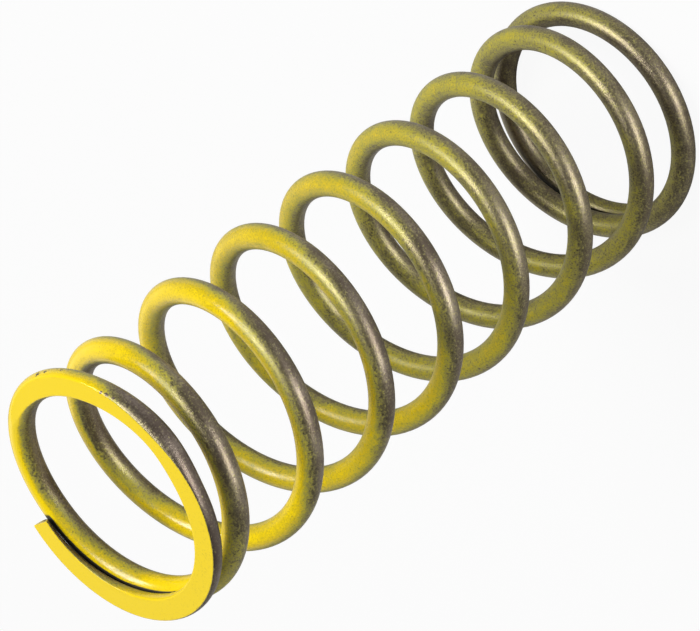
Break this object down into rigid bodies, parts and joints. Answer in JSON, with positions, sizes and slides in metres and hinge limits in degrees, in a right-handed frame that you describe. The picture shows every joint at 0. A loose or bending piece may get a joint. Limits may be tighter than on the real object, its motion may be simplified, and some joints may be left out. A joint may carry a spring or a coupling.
{
  "type": "valve spring",
  "caption": "Round-wire compression spring wound left-hand, with closed ends ground flat and one end sprayed yellow; it closes a valve.",
  "frame": {"origin": "on the coil's axis at the lower ground face, the unpainted end's", "axes": "+Z along the coil's axis, from the bare end to the yellow end; +X from the axis through the lower tip"},
  "size_m": [0.0369, 0.0364, 0.106],
  "materials": {
    "coil_finish": "yellow enamel sprayed from one end, fading to bare dark spring steel"
  },
  "bodies": {
    "root": {"valve_spring": "coil_finish"}
  },
  "joints": []
}
